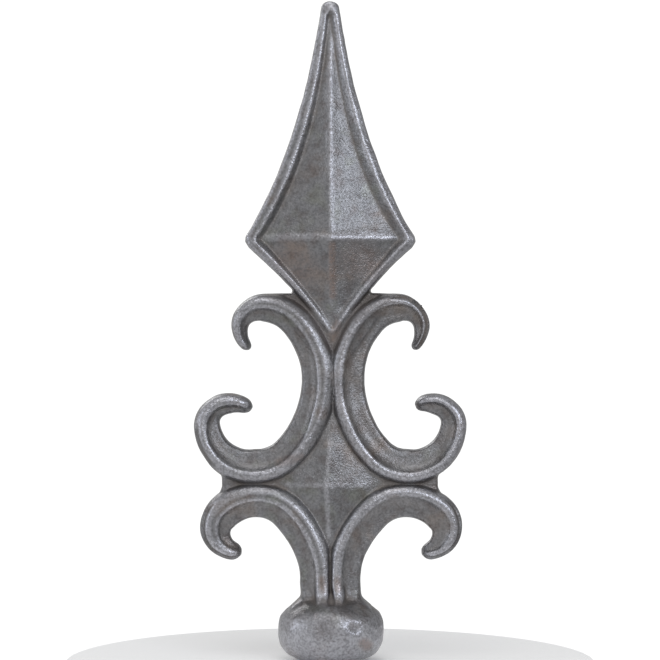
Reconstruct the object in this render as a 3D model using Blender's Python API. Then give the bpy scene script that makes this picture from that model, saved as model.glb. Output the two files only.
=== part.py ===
"""Fence spear finial: one iron casting, the same front and back.

A concave-sided spearhead with a raised rim and a four-faced field stands on two C scrolls set
back to back. A second, lower pair of scrolls springs from the neck, a four-pointed boss fills
the space between the two pairs, and the casting ends in a bulb with a flat weld face below.

Metres, +Z up. The origin is the centre of the flat underside, and the front faces -Y.
The casting is flat in the XZ plane, and its parting plane is Y = 0.
"""

import math

import bmesh
import bpy
from mathutils import Matrix, Vector

MM = 0.001

# Driving dimensions, in millimetres.
HEIGHT = 250.0

# Spearhead: a kite with concave sides, and the smaller kite of its field inside the rim.
HEAD_CORNER = (32.8, 159.4)
HEAD_BOTTOM = 120.0
HEAD_TIP_HALF = 3.5
HEAD_TIP_ROUND = 2.6
HEAD_TIP_CHEEK = (0.72, 0.68)
HEAD_UPPER_BOW = (11.6, 193.4)
HEAD_LOWER_BOW = (10.2, 138.6)
FIELD_CORNER = 26.0
FIELD_TOP = 243.6
FIELD_BOTTOM = 126.5
FIELD_TIP_HALF = 0.5
FIELD_UPPER_BOW = (5.0, 189.6)
FIELD_LOWER_BOW = (8.2, 139.9)
FIELD_DEPTH = 3.0
APEX_DEPTH = 9.5
RIM_DEPTH = 5.6

# Across the rim, from its outer edge to the field: (share of the upper rim's width,
# share of the lower rim's width, share of the rim's depth). The lower rims crest further in.
RIM_PROFILE = ((0.10, 0.16, 0.62), (0.26, 0.50, 0.95), (0.42, 0.72, 1.0), (0.64, 0.86, 0.93))
TIP_THINNING = 0.62
TIP_THINNING_LENGTH = 70.0

# Scroll section: a rounded bead outside, a cove inside, as (share of width, share of depth).
COVE = ((0.64, 0.08), (0.34, 0.34), (0.16, 0.84))
BEAD = ((0.32, 0.96), (0.64, 0.78), (0.88, 0.45))
EDGE_DEPTH = 0.53
EDGE_DRAFT = 0.5
EDGE_DRAFT_AT = 0.72
EDGE_ROUND = 1.2
THIN_EDGE_DRAFT = 0.12
THIN_EDGE_ROUND = 0.3

# C scroll: arcs that follow the crest of the bead, as
# (radius, turn in degrees, width to the inner edge, width to the outer edge, crest depth).
C_WAIST = (3.85, 106.0)
C_WAIST_SECTION = (8.1, 4.6, 7.6)
C_UPPER_ARCS = (
    (34.6, 42.0, 7.5, 4.6, 7.6),
    (18.2, 48.0, 6.9, 3.8, 7.2),
    (8.7, 45.0, 6.0, 3.2, 6.6),
    (8.3, 45.0, 3.5, 3.0, 6.0),
    (11.5, 42.0, 1.7, 2.1, 4.4),
)
C_LOWER_ARCS = (
    (41.9, 45.0, 9.0, 4.8, 7.6),
    (18.6, 45.0, 9.4, 4.4, 7.4),
    (18.2, 90.0, 5.6, 4.4, 6.8),
    (8.2, 45.0, 4.9, 3.6, 6.4),
    (9.2, 45.0, 4.6, 3.5, 6.0),
)
C_LOWER_END = (12.0, 3.0, 3.1, 4.8)
C_LOWER_END_TURN_LEFT = 29.0
C_LOWER_END_TURN_RIGHT = 20.0
C_UPPER_END_ROUND = 1.6
C_LOWER_END_ROUND = 2.6

# Lower scroll, from inside the bulb up the neck and over.
NECK_FOOT = (3.0, 16.0)
NECK_SECTION = (8.4, 3.8, 7.6)
NECK_LENGTH = 14.0
LOWER_ARCS = (
    (38.7, 45.0, 9.4, 4.4, 7.6),
    (18.6, 45.0, 9.0, 4.2, 7.0),
    (20.8, 45.0, 8.3, 5.1, 6.4),
    (9.5, 45.0, 8.1, 4.9, 6.0),
    (9.0, 86.0, 3.4, 3.4, 4.6),
)
LOWER_END_ROUND = 2.6

# Boss and webs between the scrolls. The waist is a hollow curve, as (out, up) from its middle.
BOSS_APEX = (0.0, 65.8)
BOSS_WAIST = (41.1, 67.1)
BOSS_WAIST_CURVE = ((0.4, 3.4), (0.0, 1.6), (0.0, -1.6), (1.0, -4.0))
BOSS_TOP = 106.0
BOSS_BOTTOM = 26.0
BOSS_DEPTH = 7.2
WEB_DEPTH = 3.2
WEB_DRAFT = 0.7
NECK_WEB_TOP = 158.0
NECK_WEB_NOTCH = (14.7, 141.4)
NECK_WEB_SHELF = (15.2, 139.2)
NECK_WEB_SHELF_END = (24.0, 138.9)
NECK_WEB_UNDER = (19.0, 131.0)
NECK_WEB_BOTTOM = 104.0

# Bulb: half an ellipse above its middle and a squarer curve below, both cut flat.
BULB_HALF_WIDTH = 20.1
BULB_HALF_DEPTH = 17.5
BULB_MIDDLE = 11.4
BULB_UPPER = 14.6
BULB_LOWER = 13.2
BULB_LOWER_POWER = 2.3
BULB_TOP_CUT = 0.98

# Fineness of the faceted solid, and what counts as a sliver or a ridge in it.
ARC_STEP = 3.6
ARC_TURN_STEP = 16.0
END_STEPS = 3
END_TURN = 78.0
HEAD_UPPER_STEPS = 11
HEAD_LOWER_STEPS = 6
BULB_SIDES = 32
BULB_RINGS = 9
MERGE_DISTANCE = 0.02
SLIVER_LENGTH = 0.01
RIDGE_ANGLE = 28.0

# Bare grey iron as it comes from the tumbler.
IRON_COLOUR = (0.17, 0.17, 0.175, 1.0)
IRON_METALLIC = 0.85
IRON_ROUGHNESS = 0.5


def clear_scene():
    for obj in list(bpy.data.objects):
        bpy.data.objects.remove(obj)


def cast_iron():
    material = bpy.data.materials.new("cast_iron")
    material.use_nodes = True
    shader = material.node_tree.nodes["Principled BSDF"]
    shader.inputs["Base Color"].default_value = IRON_COLOUR
    shader.inputs["Metallic"].default_value = IRON_METALLIC
    shader.inputs["Roughness"].default_value = IRON_ROUGHNESS
    return material


def object_from(name, mesh_builder):
    """A new object in the scene with the mesh that mesh_builder holds, faces pointing out."""
    bmesh.ops.recalc_face_normals(mesh_builder, faces=mesh_builder.faces)
    mesh = bpy.data.meshes.new(name)
    mesh_builder.to_mesh(mesh)
    mesh_builder.free()
    obj = bpy.data.objects.new(name, mesh)
    bpy.context.scene.collection.objects.link(obj)
    return obj


def add_ring(mesh_builder, points):
    return [mesh_builder.verts.new(Vector(point) * MM) for point in points]


def skin_rings(mesh_builder, rings):
    """Quads between each ring and the next, all rings having the same number of points."""
    for ring, following in zip(rings, rings[1:]):
        count = len(ring)
        for i in range(count):
            j = (i + 1) % count
            mesh_builder.faces.new((ring[i], ring[j], following[j], following[i]))


def walk_arcs(start, heading, arcs, section, turn_sign):
    """Stations (x, z, heading, section) along a chain of arcs, the section changing smoothly."""
    x, z = start
    stations = [(x, z, heading, section)]
    for radius, turn, *next_section in arcs:
        sweep = math.radians(turn)
        steps = max(2, round(radius * sweep / ARC_STEP), round(turn / ARC_TURN_STEP))
        for step in range(1, steps + 1):
            half = turn_sign * sweep / steps / 2
            chord = 2 * radius * math.sin(sweep / steps / 2)
            heading += half
            x += chord * math.cos(heading)
            z += chord * math.sin(heading)
            heading += half
            share = step / steps
            mixed = tuple(a + (b - a) * share for a, b in zip(section, next_section))
            stations.append((x, z, heading, mixed))
        section = tuple(next_section)
    return stations


def rounded_end(stations, radius):
    """The same stations carried on to a blunt rounded end that narrows like a quarter circle."""
    x, z, heading, section = stations[-1]
    carried = list(stations)
    for step in range(1, END_STEPS + 1):
        angle = math.radians(END_TURN) * step / END_STEPS
        ahead = radius * math.sin(angle)
        shrink = math.cos(angle)
        carried.append(
            (
                x + ahead * math.cos(heading),
                z + ahead * math.sin(heading),
                heading,
                tuple(value * shrink for value in section),
            )
        )
    return carried


def section_outline(inner, outer, depth):
    """Closed outline of the scroll's bar as (offset from the crest, depth), inner edge negative."""
    edge_depth = EDGE_DEPTH * depth
    round_off = min(EDGE_ROUND, THIN_EDGE_ROUND * inner)
    draft = min(EDGE_DRAFT, THIN_EDGE_DRAFT * inner)
    front = [(-inner, 0.0), (-inner + draft, EDGE_DRAFT_AT * edge_depth)]
    front += [(-inner + round_off, edge_depth)]
    front += [(-share * inner, edge_depth + rise * (depth - edge_depth)) for share, rise in COVE]
    front += [(0.0, depth)]
    front += [(share * outer, fall * depth) for share, fall in BEAD]
    front += [(outer, 0.0)]
    back = [(offset, -d) for offset, d in reversed(front[1:-1])]
    return front + back


def bar(name, stations, outer_side):
    """Lofts the section along the stations. outer_side is +1 where the bead lies left of the walk."""
    mesh_builder = bmesh.new()
    rings = []
    for x, z, heading, (inner, outer, depth) in stations:
        across_x = -math.sin(heading) * outer_side
        across_z = math.cos(heading) * outer_side
        outline = section_outline(inner, outer, depth)
        rings.append(
            add_ring(
                mesh_builder,
                [(x + across_x * e, -d, z + across_z * e) for e, d in outline],
            )
        )
    skin_rings(mesh_builder, rings)
    mesh_builder.faces.new(rings[0])
    mesh_builder.faces.new(rings[-1])
    return object_from(name, mesh_builder)


def c_scroll(name, end_turn):
    """Right-hand C scroll, from its upper curl down the waist to its lower curl."""
    end_radius, *end_section = C_LOWER_END
    lower_arcs = C_LOWER_ARCS + ((end_radius, end_turn, *end_section),)
    up = walk_arcs(C_WAIST, math.radians(90), C_UPPER_ARCS, C_WAIST_SECTION, -1)
    down = walk_arcs(C_WAIST, math.radians(-90), lower_arcs, C_WAIST_SECTION, 1)
    up = rounded_end(up, C_UPPER_END_ROUND)
    down = rounded_end(down, C_LOWER_END_ROUND)
    turned = [(x, z, heading + math.pi, section) for x, z, heading, section in reversed(up)]
    return bar(name, turned + down[1:], -1)


def lower_scroll(name):
    """Right-hand lower scroll, with its foot inside the bulb."""
    foot_x, foot_z = NECK_FOOT
    neck = [
        (foot_x, foot_z, math.radians(90), NECK_SECTION),
        (foot_x, foot_z + NECK_LENGTH / 2, math.radians(90), NECK_SECTION),
    ]
    start = (foot_x, foot_z + NECK_LENGTH)
    arm = walk_arcs(start, math.radians(90), LOWER_ARCS, NECK_SECTION, -1)
    return bar(name, neck + rounded_end(arm, LOWER_END_ROUND), 1)


def bow(start, middle, end, steps):
    """Points of a quadratic curve after its start, pulled towards the middle point."""
    points = []
    for step in range(1, steps + 1):
        t = step / steps
        a, b, c = (1 - t) ** 2, 2 * t * (1 - t), t * t
        points.append(tuple(a * p + b * q + c * r for p, q, r in zip(start, middle, end)))
    return points


def mix(a, b, share):
    if isinstance(a, tuple):
        return tuple(mix(p, q, share) for p, q in zip(a, b))
    return a + (b - a) * share


def both_sides(right):
    """A closed outline from its right-hand half, which runs from top to bottom on the axis."""
    return right + [(-x, z) for x, z in reversed(right[1:-1])]


def head_outline(upper, lower):
    """Kite with concave sides, set in from the outline (0) towards the field (1) by two shares."""
    tip_half = mix(HEAD_TIP_HALF, FIELD_TIP_HALF, upper)
    top = mix(HEIGHT, FIELD_TOP, upper)
    shoulder = (tip_half, top - HEAD_TIP_ROUND * tip_half / HEAD_TIP_HALF)
    cheek_out, cheek_up = HEAD_TIP_CHEEK
    corner = (mix(HEAD_CORNER[0], FIELD_CORNER, (upper + lower) / 2), HEAD_CORNER[1])
    bottom = (0.0, mix(HEAD_BOTTOM, FIELD_BOTTOM, lower))
    upper_bow = mix(HEAD_UPPER_BOW, FIELD_UPPER_BOW, upper)
    lower_bow = mix(HEAD_LOWER_BOW, FIELD_LOWER_BOW, lower)
    right = [(0.0, top), (tip_half * cheek_out, mix(shoulder[1], top, cheek_up)), shoulder]
    right += bow(shoulder, upper_bow, corner, HEAD_UPPER_STEPS)
    right += bow(corner, lower_bow, bottom, HEAD_LOWER_STEPS)
    return both_sides(right)


def tip_share(z):
    """How much of its full depth the head's relief has at a height: thinner towards the tip."""
    run = min(1.0, (HEIGHT - z) / TIP_THINNING_LENGTH)
    return TIP_THINNING + (1 - TIP_THINNING) * run


def relief(name, outlines, apex):
    """A solid with the same relief on both faces: rings of (points, depth) rising to a peak."""
    mesh_builder = bmesh.new()
    parting = add_ring(mesh_builder, [(x, 0.0, z) for x, z in outlines[0][0]])
    apex_x, apex_z, apex_depth = apex
    for side in (-1, 1):
        rings = [parting]
        for points, depth_at in outlines[1:]:
            rings.append(add_ring(mesh_builder, [(x, side * depth_at(z), z) for x, z in points]))
        skin_rings(mesh_builder, rings)
        peak = mesh_builder.verts.new(Vector((apex_x, side * apex_depth, apex_z)) * MM)
        last = rings[-1]
        for i in range(len(last)):
            mesh_builder.faces.new((last[i], last[(i + 1) % len(last)], peak))
    return object_from(name, mesh_builder)


def head_depth(share):
    """Depth at each height of a ring that has this share of the rim's depth."""
    return lambda z: share * RIM_DEPTH * tip_share(z)


def spearhead(name):
    outlines = [(head_outline(0.0, 0.0), None)]
    outlines += [(head_outline(upper, lower), head_depth(d)) for upper, lower, d in RIM_PROFILE]
    outlines += [(head_outline(1.0, 1.0), head_depth(FIELD_DEPTH / RIM_DEPTH))]
    return relief(name, outlines, (0.0, HEAD_CORNER[1], APEX_DEPTH))


def crest_line(start, heading, arcs, section, turn_sign):
    """Points along the crest of a scroll over its first arcs."""
    stations = walk_arcs(start, heading, arcs, section, turn_sign)
    return [(x, z) for x, z, _, _ in stations[::2]]


def boss_outline(inset):
    """Four-pointed outline along the crests of the scrolls, with a hollow curve at each waist."""
    upper = crest_line(C_WAIST, math.radians(-90), C_LOWER_ARCS[:2], C_WAIST_SECTION, 1)
    neck = (NECK_FOOT[0], NECK_FOOT[1] + NECK_LENGTH)
    lower = crest_line(neck, math.radians(90), LOWER_ARCS[:2], NECK_SECTION, -1)
    x, z = BOSS_WAIST
    waist = [(x + out - inset, z + up) for out, up in BOSS_WAIST_CURVE]
    right = [(0.0, BOSS_TOP - inset)] + upper[1:] + waist + lower[:0:-1]
    return both_sides(right + [(0.0, BOSS_BOTTOM + inset)])


def boss(name):
    """Four-pointed boss between the two pairs of scrolls, running out to the waist as a web."""
    outlines = [(boss_outline(0.0), None), (boss_outline(WEB_DRAFT), lambda z: WEB_DEPTH)]
    return relief(name, outlines, (*BOSS_APEX, BOSS_DEPTH))


def neck_web_outline(inset):
    """The corner between head and scrolls: down the notch, then out along the scroll's top."""
    right = [(0.0, NECK_WEB_TOP)]
    right += [(x - inset, z - inset) for x, z in (NECK_WEB_NOTCH, NECK_WEB_SHELF)]
    right += [(x - inset, z - inset) for x, z in (NECK_WEB_SHELF_END, NECK_WEB_UNDER)]
    return both_sides(right + [(0.0, NECK_WEB_BOTTOM)])


def neck_web(name):
    """Thin web that fills the corner between the spearhead and the tops of the C scrolls."""
    outlines = [(neck_web_outline(0.0), None), (neck_web_outline(WEB_DRAFT), lambda z: WEB_DEPTH)]
    return relief(name, outlines, (0.0, NECK_WEB_UNDER[1], WEB_DEPTH))


def bulb_radius(z):
    """Half-width of the bulb at a height."""
    if z >= BULB_MIDDLE:
        rise = min(1.0, (z - BULB_MIDDLE) / BULB_UPPER)
        return BULB_HALF_WIDTH * math.sqrt(1 - rise**2)
    fall = (BULB_MIDDLE - z) / BULB_LOWER
    return BULB_HALF_WIDTH * (1 - fall**BULB_LOWER_POWER) ** (1 / BULB_LOWER_POWER)


def bulb(name):
    """Oval bulb, closer rings where its profile turns, with a flat underside at Z = 0."""
    mesh_builder = bmesh.new()
    top = BULB_MIDDLE + BULB_UPPER * BULB_TOP_CUT
    rings = []
    for ring in range(BULB_RINGS + 1):
        z = top * (1 - math.cos(math.pi * ring / BULB_RINGS)) / 2
        radius = bulb_radius(z)
        squash = BULB_HALF_DEPTH / BULB_HALF_WIDTH
        circle = [2 * math.pi * side / BULB_SIDES for side in range(BULB_SIDES)]
        rings.append(
            add_ring(
                mesh_builder,
                [(radius * math.cos(a), radius * squash * math.sin(a), z) for a in circle],
            )
        )
    skin_rings(mesh_builder, rings)
    mesh_builder.faces.new(rings[0])
    mesh_builder.faces.new(rings[-1])
    return object_from(name, mesh_builder)


def mirrored(obj):
    """Turns a right-hand bar into a left-hand one."""
    obj.data.transform(Matrix.Scale(-1, 4, (1, 0, 0)))
    obj.data.flip_normals()
    return obj


def fuse(base, others):
    """Joins the others to the base with exact unions and removes them from the scene."""
    for other in others:
        union = base.modifiers.new("fuse_" + other.name, "BOOLEAN")
        union.operation = "UNION"
        union.solver = "EXACT"
        union.object = other
    graph = bpy.context.evaluated_depsgraph_get()
    joined = bpy.data.meshes.new_from_object(base.evaluated_get(graph))
    base.modifiers.clear()
    base.data = joined
    for other in others:
        bpy.data.objects.remove(other)
    return base


def clean(obj):
    """Removes the slivers that the unions leave, and marks the ridges as sharp."""
    mesh_builder = bmesh.new()
    mesh_builder.from_mesh(obj.data)
    bmesh.ops.remove_doubles(mesh_builder, verts=mesh_builder.verts, dist=MERGE_DISTANCE * MM)
    bmesh.ops.dissolve_degenerate(mesh_builder, edges=mesh_builder.edges, dist=SLIVER_LENGTH * MM)
    bmesh.ops.triangulate(mesh_builder, faces=mesh_builder.faces)
    mesh_builder.to_mesh(obj.data)
    mesh_builder.free()
    obj.data.shade_smooth()
    obj.data.set_sharp_from_angle(angle=math.radians(RIDGE_ANGLE))


def main():
    clear_scene()
    finial = spearhead("spear_finial")
    others = [
        neck_web("neck_web"),
        c_scroll("c_scroll_right", C_LOWER_END_TURN_RIGHT),
        mirrored(c_scroll("c_scroll_left", C_LOWER_END_TURN_LEFT)),
        boss("boss"),
        lower_scroll("lower_scroll_right"),
        mirrored(lower_scroll("lower_scroll_left")),
        bulb("bulb"),
    ]
    fuse(finial, others)
    clean(finial)
    finial.data.materials.clear()
    finial.data.materials.append(cast_iron())


main()
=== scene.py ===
# %% [markdown]
# A fence spear finial in bare cast iron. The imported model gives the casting's exact form at its
# real size, as one faceted solid. This lesson dresses it: a finely carved skin with the same
# form, the marks that the mould left, the iron's own finish, and a plain studio to see it in.
# Shapes are worked out in millimetres and turned to metres where Blender needs them.

# %% Load the fixed frame
import math

import bmesh
import bpy
import numpy as np
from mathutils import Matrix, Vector


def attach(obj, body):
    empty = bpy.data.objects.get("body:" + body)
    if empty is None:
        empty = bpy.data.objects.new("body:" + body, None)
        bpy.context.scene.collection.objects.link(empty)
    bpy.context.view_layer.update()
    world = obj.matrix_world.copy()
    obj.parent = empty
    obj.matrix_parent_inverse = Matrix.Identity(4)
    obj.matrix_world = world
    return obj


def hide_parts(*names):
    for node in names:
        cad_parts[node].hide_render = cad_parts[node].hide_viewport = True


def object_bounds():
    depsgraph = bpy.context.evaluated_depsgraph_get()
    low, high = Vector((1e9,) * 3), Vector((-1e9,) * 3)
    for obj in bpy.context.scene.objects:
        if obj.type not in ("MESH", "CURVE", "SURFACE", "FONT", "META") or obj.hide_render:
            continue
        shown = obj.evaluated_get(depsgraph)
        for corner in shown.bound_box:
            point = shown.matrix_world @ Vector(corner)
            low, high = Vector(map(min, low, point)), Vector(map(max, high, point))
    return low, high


MM = 0.001
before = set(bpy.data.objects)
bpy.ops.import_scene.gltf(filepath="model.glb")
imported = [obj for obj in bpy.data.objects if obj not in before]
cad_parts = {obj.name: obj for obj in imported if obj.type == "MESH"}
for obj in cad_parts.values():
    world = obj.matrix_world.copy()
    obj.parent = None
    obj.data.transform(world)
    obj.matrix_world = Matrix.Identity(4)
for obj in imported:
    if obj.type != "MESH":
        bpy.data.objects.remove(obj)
cad_low, cad_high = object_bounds()
casting_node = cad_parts["spear_finial"]
print("CAD box in mm:", [round(v / MM, 1) for v in (*cad_low, *cad_high)])

# %% [markdown]
# A pattern-maker carves such a finial as a relief: seen from the front, every place has one depth
# from the parting plane, and the back mirrors the front. So the whole carving is one map of
# depths over a flat grid. A map is easy to shape with formulas, to soften like a worn pattern,
# and to mark with the flaws of one casting. Depths below zero lie outside the outline.

# %% The grid of the depth map
# The map is a little larger than the finial. Outside the outline the depth is far below zero, and
# close to it the depth falls by the outside slope for each millimetre away.
MAP_STEP = 0.25
MAP_HALF_WIDTH = 56.0
MAP_BOTTOM = -3.0
MAP_TOP = 254.0
OUTSIDE = -20.0
OUTSIDE_SLOPE = 8.0
across_line = np.arange(-MAP_HALF_WIDTH, MAP_HALF_WIDTH + MAP_STEP / 2, MAP_STEP)
up_line = np.arange(MAP_BOTTOM, MAP_TOP, MAP_STEP)
across, up = np.meshgrid(across_line, up_line, indexing="ij")
carving = np.full(across.shape, OUTSIDE)
print("depth map:", carving.shape, "places,", MAP_STEP, "mm apart")


def window(low_x, high_x, low_z, high_z):
    """The part of the map between four bounds, as a pair of slices."""
    columns = np.searchsorted(across_line, (low_x, high_x))
    rows = np.searchsorted(up_line, (low_z, high_z))
    return slice(*columns), slice(*rows)


# %% Helpers that ease
# A pair of numbers further down, such as CHANNEL_ABOVE, is a level and the distance of its ease.
def smooth_step(t):
    """Eases from 0 to 1."""
    t = np.clip(t, 0, 1)
    return t * t * (3 - 2 * t)


def beyond(value, level, ease):
    """0 up to a level, then easing to 1 over a distance."""
    return smooth_step((value - level) / ease)


def short_of(value, level, ease):
    """0 from a level on, and easing to 1 a distance before it."""
    return smooth_step((level - value) / ease)


def spot(x, z, centre, radius, soft):
    """1 inside a round spot of the map, easing to 0 over a soft border."""
    return short_of(np.hypot(x - centre[0], z - centre[1]), radius, soft)


print("half-way up an ease:", beyond(5.0, 4.0, 2.0))

# %% Helpers that cut and join
BROW_POWER = 3


def cut_wall(depth, from_edge, height, brow=0.35):
    """Rounds depths down to an edge over the width of a brow, and falls away outside it."""
    wall = height * (1 - (1 - np.clip(from_edge / brow, 0, 1)) ** BROW_POWER)
    inside = np.where(from_edge < brow, np.minimum(depth, wall), depth)
    return np.where(from_edge > 0, inside, OUTSIDE_SLOPE * from_edge)


def lower_of(a, b, blend):
    """Minimum of two values with a rounded meeting."""
    share = np.clip(0.5 + 0.5 * (b - a) / blend, 0, 1)
    return b + (a - b) * share - blend * share * (1 - share)


def higher_of(a, b, blend):
    """Maximum of two values with a fillet where they meet."""
    return -lower_of(-a, -b, blend)


print("a 1 mm fillet lifts the meeting of two 3 mm depths to", higher_of(3.0, 3.0, 1.0), "mm")


# %% A helper that softens
def soften(values, reach):
    """Gaussian smoothing of a map. reach is the bell's standard deviation in millimetres."""
    half = max(1, round(3 * reach / MAP_STEP))
    bell = np.exp(-0.5 * (np.arange(-half, half + 1) * MAP_STEP / reach) ** 2)
    bell /= bell.sum()
    for axis in (0, 1):
        border = [(half, half) if a == axis else (0, 0) for a in (0, 1)]
        padded = np.pad(values, border, mode="edge")
        total = np.zeros_like(values)
        for shift, weight in enumerate(bell):
            taken = [slice(None), slice(None)]
            taken[axis] = slice(shift, shift + values.shape[axis])
            total += weight * padded[tuple(taken)]
        values = total
    return values


narrow_ridge = np.eye(9)[4:5]
print("a 1 mm ridge softened over 0.5 mm keeps", soften(narrow_ridge, 0.5).max().round(2), "mm")

# %% [markdown]
# Each scroll is a bar that follows a chain of arcs, like a strip bent round a template. Blender
# could sweep a profile along a curve, but then every place where two bars touch would need a
# repair. In the map they simply meet. The arcs and widths are those of the frame's solid, walked
# here in finer steps, and each station on the way keeps its heading, widths and depth.

# %% Walk the arcs of a scroll
FINE_STEP = 0.4


def walk_arcs(start, heading, arcs, section, turn_sign):
    """Stations (x, z, heading, inner width, outer width, depth) along a chain of arcs."""
    x, z = start
    stations = [(x, z, heading, *section)]
    for radius, turn, *next_section in arcs:
        sweep = math.radians(turn)
        steps = max(4, round(radius * sweep / FINE_STEP))
        half = turn_sign * sweep / steps / 2
        chord = 2 * radius * math.sin(abs(half))
        for step in range(1, steps + 1):
            heading += half
            x += chord * math.cos(heading)
            z += chord * math.sin(heading)
            heading += half
            share = step / steps
            mixed = [a + (b - a) * share for a, b in zip(section, next_section)]
            stations.append((x, z, heading, *mixed))
        section = tuple(next_section)
    return np.array(stations)


quarter = walk_arcs((0.0, 0.0), 0.0, ((10.0, 90.0, 1.0, 1.0, 1.0),), (1.0, 1.0, 1.0), 1)
print("a quarter turn of radius 10 mm ends at", quarter[-1, :2].round(2), "mm")


# %% Round its end, even its widths, change its hand
END_TURNS = np.radians(np.linspace(9, 81, 9))
WIDTHS_AND_DEPTH = (3, 4, 5)


def rounded_end(stations, radius):
    """Carries the stations on to a blunt end that narrows like a quarter circle."""
    x, z, heading, *section = stations[-1]
    tail = []
    for angle in END_TURNS:
        reach = radius * math.sin(angle)
        narrowed = [value * math.cos(angle) for value in section]
        tail.append((x + reach * math.cos(heading), z + reach * math.sin(heading), heading, *narrowed))
    return np.vstack([stations, tail])


def ease_widths(stations, reach=2.0):
    """Smooths how widths and depth change along the bar, so that no arc's end shows."""
    half = round(reach / FINE_STEP)
    kernel = np.ones(2 * half + 1) / (2 * half + 1)
    eased = stations.copy()
    for column in WIDTHS_AND_DEPTH:
        padded = np.pad(stations[:, column], half, mode="edge")
        eased[:, column] = np.convolve(padded, kernel, mode="valid")
    return eased


def mirrored(stations):
    """The same bar on the other side of the axis. Its bead changes to the other hand."""
    flipped = stations.copy()
    flipped[:, 0] *= -1
    flipped[:, 2] = math.pi - flipped[:, 2]
    return flipped


print("a 2 mm round adds", len(rounded_end(quarter, 2.0)) - len(quarter), "stations to the quarter turn")

# %% [markdown]
# Across each bar there is a bead with a nearly flat outer face, a crest, and a cove that drops in
# a steep wall to a floor at the inner edge. Where the two mould halves leaked a little, a thin lip
# runs along the outer edge. Two formulas of the distance from the crest give the whole section.

# %% The bead and its lip
BEAD_SLOPE = 0.27
BEAD_BEND = 1.3
BEAD_SHOULDER = 6
PARTING_LAND = 1.3
LIP_WIDTH = 1.7
LIP_GROOVE = 0.55
LIP_GROOVE_AT = 0.75
LIP_ENDS_AT = 1.15
LIP_EASE = 0.3
LIP_DEPTH = 2.9
LIP_FADE = 4.0
LIP_SPOTS = (
    ((-42.5, 46.0), 14.5, 1.0),
    ((42.5, 47.5), 14.5, 1.0),
    ((30.0, 127.0), 13.5, 1.0),
    ((-45.0, 82.0), 10.0, 0.6),
)


def lip_share(x, z):
    """How much of a flash lip there is at each place: 1 where the mould halves leaked."""
    share = np.zeros_like(x)
    for centre, radius, strength in LIP_SPOTS:
        share = np.maximum(share, strength * spot(x, z, centre, radius, LIP_FADE))
    return share


def bead_depth(aside, outer, depth, lip):
    """Depth from the crest out to the outer edge, where a shallow groove and a lip may run along."""
    u = np.clip(aside / outer, 0, 1)
    bead = depth * (1 - BEAD_SLOPE * u**BEAD_BEND) * (1 - u**BEAD_SHOULDER) ** 0.5
    before_edge = (outer - aside) / LIP_WIDTH
    lip_top = LIP_DEPTH - LIP_GROOVE * np.exp(-(((before_edge - LIP_GROOVE_AT) / LIP_EASE) ** 2))
    on_lip = lip * short_of(before_edge, LIP_ENDS_AT, LIP_EASE)
    return np.maximum(bead + (np.minimum(lip_top, bead) - bead) * on_lip, PARTING_LAND)


print("a 7 mm deep bead, 3 mm out of 4:", round(float(bead_depth(3.0, 4.0, 7.0, 0.0)), 2), "mm")

# %% The cove
COVE_EDGE_SHARE = 0.56
COVE_EDGE_SLOPE = 0.5
COVE_EDGE_WIDTH = 1.4
COVE_SWEEP = 4
ARRIS_DROP = 0.08


def cove_depth(aside, inner, depth, arris_at):
    """Depth from the crest over the arris and down the cove to the inner edge."""
    v = np.clip(aside / inner, 0, 1)
    brow = 1 - ARRIS_DROP * (v / arris_at) ** 2
    sweep = (1 - ARRIS_DROP) * (1 - np.clip((v - arris_at) / (1 - arris_at), 0, 1)) ** COVE_SWEEP
    edge = COVE_EDGE_SHARE * depth
    cove = edge + (depth - edge) * np.where(v < arris_at, brow, sweep)
    return cove - COVE_EDGE_SLOPE * np.clip(COVE_EDGE_WIDTH - (inner - aside), 0, COVE_EDGE_WIDTH)


print("a 7 mm deep cove, 4 mm in of 8:", round(float(cove_depth(4.0, 8.0, 7.0, 0.2)), 2), "mm")

# %% The nearest station of a bar
BATCH = 20000


def nearest_station(px, pz, stations):
    """Index of the nearest station to each point, found in batches to spare memory."""
    nearest = np.empty(px.size, int)
    for first in range(0, px.size, BATCH):
        batch = slice(first, first + BATCH)
        gap = (px[batch, None] - stations[:, 0]) ** 2 + (pz[batch, None] - stations[:, 1]) ** 2
        nearest[batch] = gap.argmin(1)
    return nearest


print("station nearest to the turn's end:", nearest_station(np.array([10.0]), np.array([10.0]), quarter))

# %% [markdown]
# The casting isn't the same left and right. The left bars carry a second, shallow channel along
# the bead, which fades out between the heights where the pairs of scrolls meet. The right bars
# have a single crest, and the bead widens down the neck. So each bar says whether it has a channel.

# %% Carve a bar into the map
SINGLE_CREST = 0.33
DOUBLE_CREST = 0.2
SINGLE_ARRIS = 0.15
DOUBLE_ARRIS = 0.3
CHANNEL_DEPTH = 0.26
CHANNEL_AT = -0.4
CHANNEL_WIDTH = 0.7
CHANNEL_ABOVE = (82.0, 12.0)
CHANNEL_BELOW = (70.0, 12.0)
NECK_BELOW = (46.0, 14.0)
NECK_WITHIN = (16.0, 4.0)
NECK_WIDENING = 0.6
BAR_MARGIN = 12.0


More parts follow.
